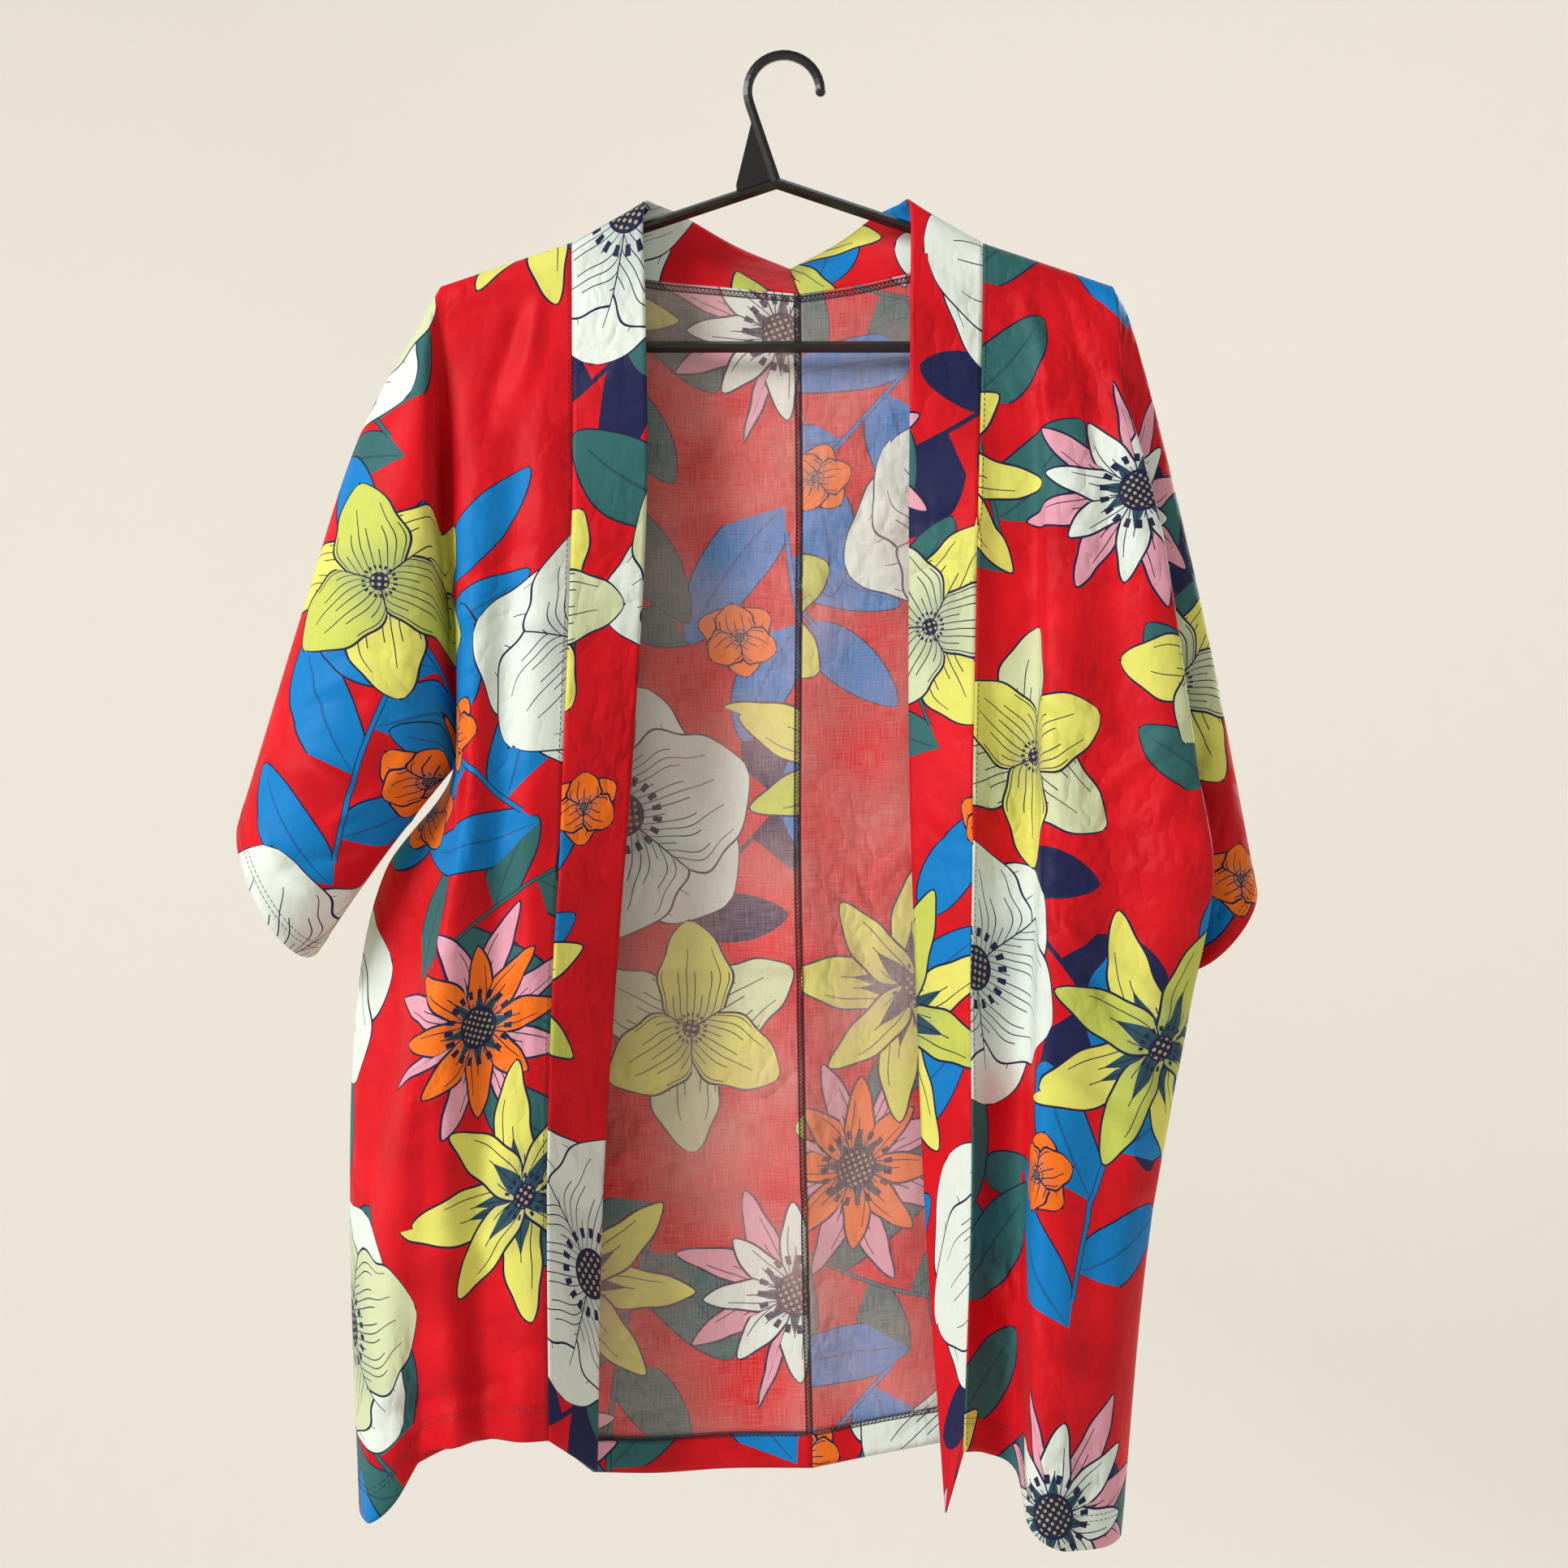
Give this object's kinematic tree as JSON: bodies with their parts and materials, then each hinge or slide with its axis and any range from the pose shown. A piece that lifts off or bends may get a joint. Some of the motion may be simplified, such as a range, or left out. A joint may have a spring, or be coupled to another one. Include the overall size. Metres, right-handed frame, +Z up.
{
  "type": "kimono on a hanger",
  "caption": "Open short-sleeved kimono jacket in a bold floral print, hanging on a black plastic hanger with its front bands apart.",
  "frame": {"origin": "inside top of the hanger's hook, where it bears on a rail or nail", "axes": "+X to the right seen from the front, +Y from the front of the garment to its back, +Z up"},
  "size_m": [0.6251, 0.1269, 0.9094],
  "materials": {
    "printed_cloth": "matte",
    "band_cloth": "matte",
    "hanger_plastic": "satin"
  },
  "bodies": {
    "root": {"right_half": "printed_cloth", "left_half": "printed_cloth", "neck_band_right": "band_cloth", "neck_band_left": "band_cloth", "hanger": "hanger_plastic"}
  },
  "joints": []
}
